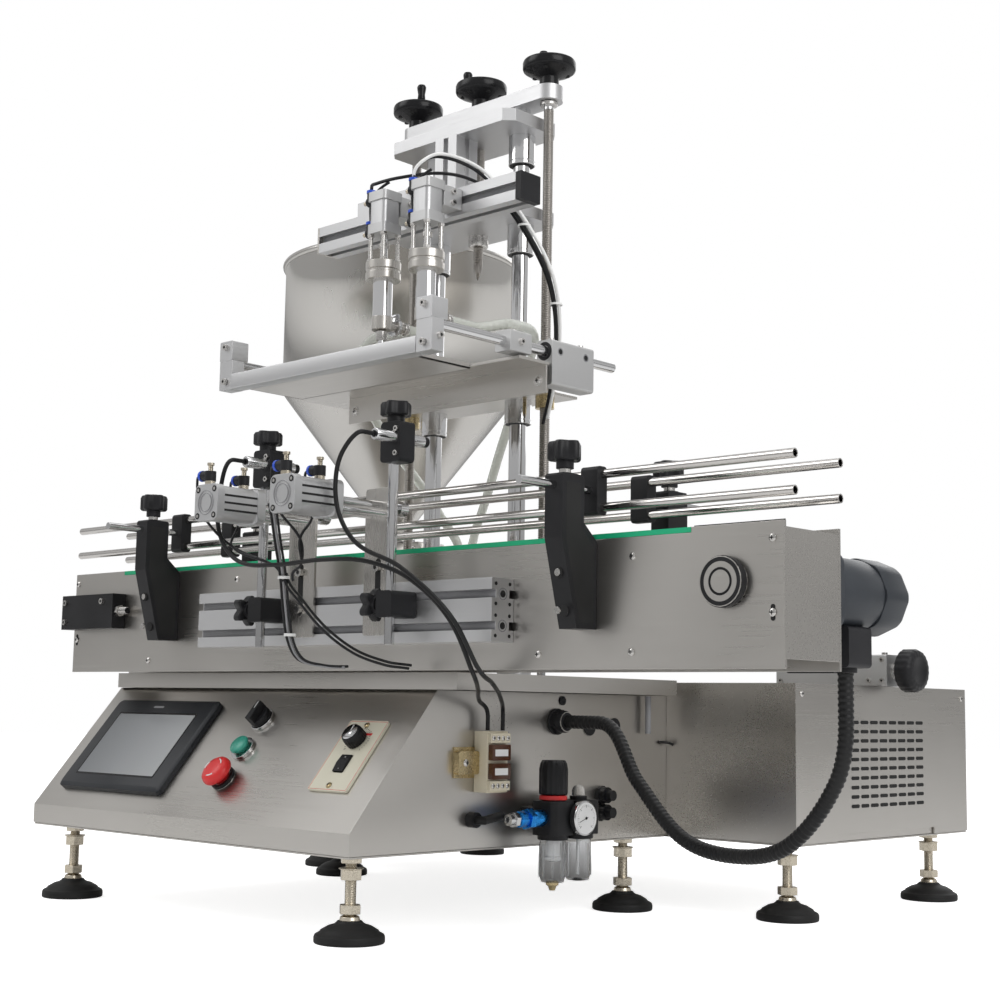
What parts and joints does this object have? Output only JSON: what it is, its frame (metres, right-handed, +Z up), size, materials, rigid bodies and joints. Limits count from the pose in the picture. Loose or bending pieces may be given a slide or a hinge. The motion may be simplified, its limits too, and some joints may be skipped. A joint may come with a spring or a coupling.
{
  "type": "piston liquid filler",
  "caption": "Bench piston filler for liquids: twin dosing heads and drip tray on a hand-wheel lift over a slat-chain conveyor, with hopper, guide rails, bottle stops and sloped control console",
  "frame": {"origin": "the middle of the machine's footprint, on the floor under its feet", "axes": "+X along the conveyor towards the drive motor, +Y from the operator to the back, +Z up"},
  "size_m": [1.174, 0.9908, 1.0135],
  "materials": {
    "alu": "anodised aluminium",
    "black": "black moulded plastic",
    "cable": "black cable jacket",
    "chrome": "ground and polished steel",
    "clear": "clear reinforced hose",
    "cream": "cream moulded plastic",
    "green": "emerald green wear plastic",
    "red": "red moulded plastic",
    "slate": "slate grey paint",
    "steel": "brushed stainless steel"
  },
  "bodies": {
    "machine": {"front_cabinet": "steel", "front_base_with_feet": "steel", "rear_cabinet": "steel", "rear_base_with_feet": "steel", "top_plate": "steel", "conveyor_front_plate": "steel", "conveyor_back_plate": "steel", "conveyor_bed": "green", "slat_chain": "steel", "take_up_block": "steel", "drive_motor": "slate", "motor_conduit": "cable", "guide_bracket_front_left": "black", "guide_bracket_front_right": "black", "guide_bracket_back_left": "black", "guide_bracket_back_right": "black", "lift_frame": "chrome", "hopper": "steel", "stop_rail": "alu", "stop_cylinder_1": "alu", "stop_cylinder_2": "alu", "sensor_post_1": "black", "sensor_post_2": "black", "sensor_cable_1": "cable", "sensor_cable_2": "cable", "touch_screen": "black", "speed_panel": "cream", "air_unit": "black", "relay_block": "cream", "metering_slide": "alu", "product_hose_1": "clear", "product_hose_2": "clear"},
    "drive_roller": {"drive_roller": "steel"},
    "idler_roller": {"idler_roller": "steel"},
    "rail_set_front": {"rail_set_front": "steel"},
    "rail_set_back": {"rail_set_back": "steel"},
    "clamp_knob_front_left": {"clamp_knob_front_left": "black"},
    "clamp_knob_front_right": {"clamp_knob_front_right": "black"},
    "clamp_knob_back_left": {"clamp_knob_back_left": "black"},
    "clamp_knob_back_right": {"clamp_knob_back_right": "black"},
    "lead_screw_left": {"lead_screw_left": "chrome"},
    "lead_screw_centre": {"lead_screw_centre": "chrome"},
    "lead_screw_right": {"lead_screw_right": "chrome"},
    "head": {"head_carriage": "steel", "head_beam": "alu", "dosing_head_1": "steel", "dosing_head_2": "steel"},
    "piston_rod_1": {"piston_rod_1": "chrome"},
    "piston_rod_2": {"piston_rod_2": "chrome"},
    "tray_carriage": {"tray_carriage": "steel"},
    "drip_tray_frame": {"drip_tray_frame": "alu"},
    "stop_rod_1": {"stop_rod_1": "chrome"},
    "stop_rod_2": {"stop_rod_2": "chrome"},
    "e_stop_button": {"e_stop_button": "red"},
    "start_button": {"start_button": "green"},
    "selector_knob": {"selector_knob": "black"},
    "speed_knob": {"speed_knob": "black"},
    "power_rocker": {"power_rocker": "black"},
    "pressure_knob": {"pressure_knob": "black"},
    "metering_knob": {"metering_knob": "black"}
  },
  "joints": [
    {"name": "head_lift", "type": "slide", "parent": "machine", "child": "head", "axis": [0, 0, 1], "range_m": [-0.045, 0.01]},
    {"name": "tray_lift", "type": "slide", "parent": "machine", "child": "tray_carriage", "axis": [0, 0, 1], "range_m": [-0.03, 0.028]},
    {"name": "centre_wheel_turn", "type": "hinge", "parent": "machine", "child": "lead_screw_centre", "pos_m": [-0.017, -0.0924, 0.985], "axis": [0, 0, 1], "range_deg": [-4051, 901]},
    {"name": "left_wheel_turn", "type": "hinge", "parent": "machine", "child": "lead_screw_left", "pos_m": [-0.129, -0.0924, 0.985], "axis": [0, 0, 1], "range_deg": [-2701, 2521]},
    {"name": "right_wheel_turn", "type": "hinge", "parent": "machine", "child": "lead_screw_right", "pos_m": [0.095, -0.0924, 0.985], "axis": [0, 0, 1], "range_deg": [-2701, 2521]},
    {"name": "piston_1_stroke", "type": "slide", "parent": "head", "child": "piston_rod_1", "axis": [0, 0, 1], "range_m": [0, 0.028]},
    {"name": "piston_2_stroke", "type": "slide", "parent": "head", "child": "piston_rod_2", "axis": [0, 0, 1], "range_m": [0, 0.028]},
    {"name": "drip_tray_slide", "type": "slide", "parent": "tray_carriage", "child": "drip_tray_frame", "axis": [0, 1, 0], "range_m": [0, 0.028]},
    {"name": "stop_1_stroke", "type": "slide", "parent": "machine", "child": "stop_rod_1", "axis": [0, 1, 0], "range_m": [0, 0.03]},
    {"name": "stop_2_stroke", "type": "slide", "parent": "machine", "child": "stop_rod_2", "axis": [0, 1, 0], "range_m": [0, 0.03]},
    {"name": "front_rail_adjust", "type": "slide", "parent": "machine", "child": "rail_set_front", "axis": [0, 1, 0], "range_m": [0, 0.018]},
    {"name": "back_rail_adjust", "type": "slide", "parent": "machine", "child": "rail_set_back", "axis": [0, -1, 0], "range_m": [0, 0.018]},
    {"name": "front_left_clamp_turn", "type": "hinge", "parent": "machine", "child": "clamp_knob_front_left", "pos_m": [-0.27, -0.3694, 0.447], "axis": [0, 0, 1], "range_deg": [0, 180]},
    {"name": "front_right_clamp_turn", "type": "hinge", "parent": "machine", "child": "clamp_knob_front_right", "pos_m": [0.37, -0.3694, 0.447], "axis": [0, 0, 1], "range_deg": [0, 180]},
    {"name": "back_left_clamp_turn", "type": "hinge", "parent": "machine", "child": "clamp_knob_back_left", "pos_m": [-0.27, -0.2154, 0.447], "axis": [0, 0, 1], "range_deg": [0, 180]},
    {"name": "back_right_clamp_turn", "type": "hinge", "parent": "machine", "child": "clamp_knob_back_right", "pos_m": [0.37, -0.2154, 0.447], "axis": [0, 0, 1], "range_deg": [0, 180]},
    {"name": "drive_turn", "type": "hinge", "parent": "machine", "child": "drive_roller", "pos_m": [0.523, -0.2924, 0.342], "axis": [0, 1, 0], "continuous": true},
    {"name": "idler_turn", "type": "hinge", "parent": "machine", "child": "idler_roller", "pos_m": [-0.423, -0.2924, 0.342], "axis": [0, 1, 0], "continuous": true},
    {"name": "metering_turn", "type": "hinge", "parent": "machine", "child": "metering_knob", "pos_m": [0.319, 0.3076, 0.2858], "axis": [1, 0, 0], "continuous": true},
    {"name": "pressure_turn", "type": "hinge", "parent": "machine", "child": "pressure_knob", "pos_m": [0.16, -0.1424, 0.1423], "axis": [0, 0, 1], "range_deg": [0, 720]},
    {"name": "e_stop_press", "type": "slide", "parent": "machine", "child": "e_stop_button", "axis": [0, -0.7733, 0.6341], "range_m": [-0.004, 0], "stiffness_N_per_m": 900},
    {"name": "start_press", "type": "slide", "parent": "machine", "child": "start_button", "axis": [0, -0.7733, 0.6341], "range_m": [-0.003, 0], "stiffness_N_per_m": 700},
    {"name": "selector_turn", "type": "hinge", "parent": "machine", "child": "selector_knob", "pos_m": [-0.122, -0.31242, 0.21406], "axis": [0, -0.7733, 0.6341], "range_deg": [-45, 45]},
    {"name": "speed_turn", "type": "hinge", "parent": "machine", "child": "speed_knob", "pos_m": [0.0555, -0.32783, 0.19526], "axis": [0, -0.7733, 0.6341], "range_deg": [-135, 135]},
    {"name": "rocker_tilt", "type": "hinge", "parent": "machine", "child": "power_rocker", "pos_m": [0.0555, -0.34704, 0.17183], "axis": [1, 0, 0], "range_deg": [-7, 7]}
  ],
  "couplings": [
    {"joint": "centre_wheel_turn", "follows": "head_lift", "rad_per_m": 1570.8},
    {"joint": "left_wheel_turn", "follows": "tray_lift", "rad_per_m": 1570.8},
    {"joint": "right_wheel_turn", "follows": "tray_lift", "rad_per_m": 1570.8},
    {"joint": "piston_2_stroke", "follows": "piston_1_stroke", "ratio": 1},
    {"joint": "idler_turn", "follows": "drive_turn", "ratio": 1}
  ]
}
